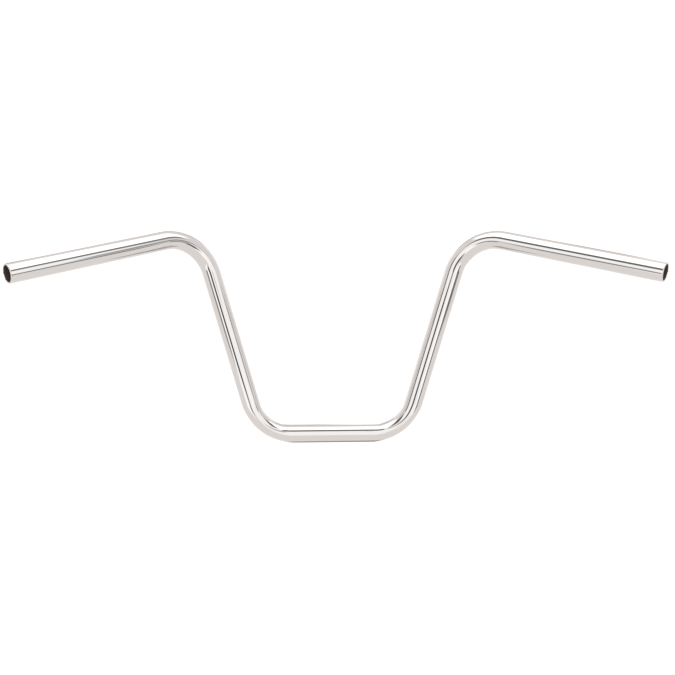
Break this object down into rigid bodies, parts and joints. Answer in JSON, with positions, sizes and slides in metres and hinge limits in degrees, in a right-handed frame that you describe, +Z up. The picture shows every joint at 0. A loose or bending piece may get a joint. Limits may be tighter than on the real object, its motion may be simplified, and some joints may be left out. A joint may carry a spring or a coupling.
{
  "type": "handlebar",
  "caption": "High-rise motorcycle handlebar bent from one chromed steel tube: straight clamp section, two leaning risers and swept-back grips with open ends.",
  "frame": {"origin": "middle of the clamp section, on the tube's centreline", "axes": "+X along the clamp section to the rider's right, +Z up in the plane of the risers, -Y back towards the rider"},
  "size_m": [0.8294, 0.1837, 0.3006],
  "materials": {
    "chromed_tube": "polished"
  },
  "bodies": {
    "root": {"handlebar_tube": "chromed_tube"}
  },
  "joints": []
}
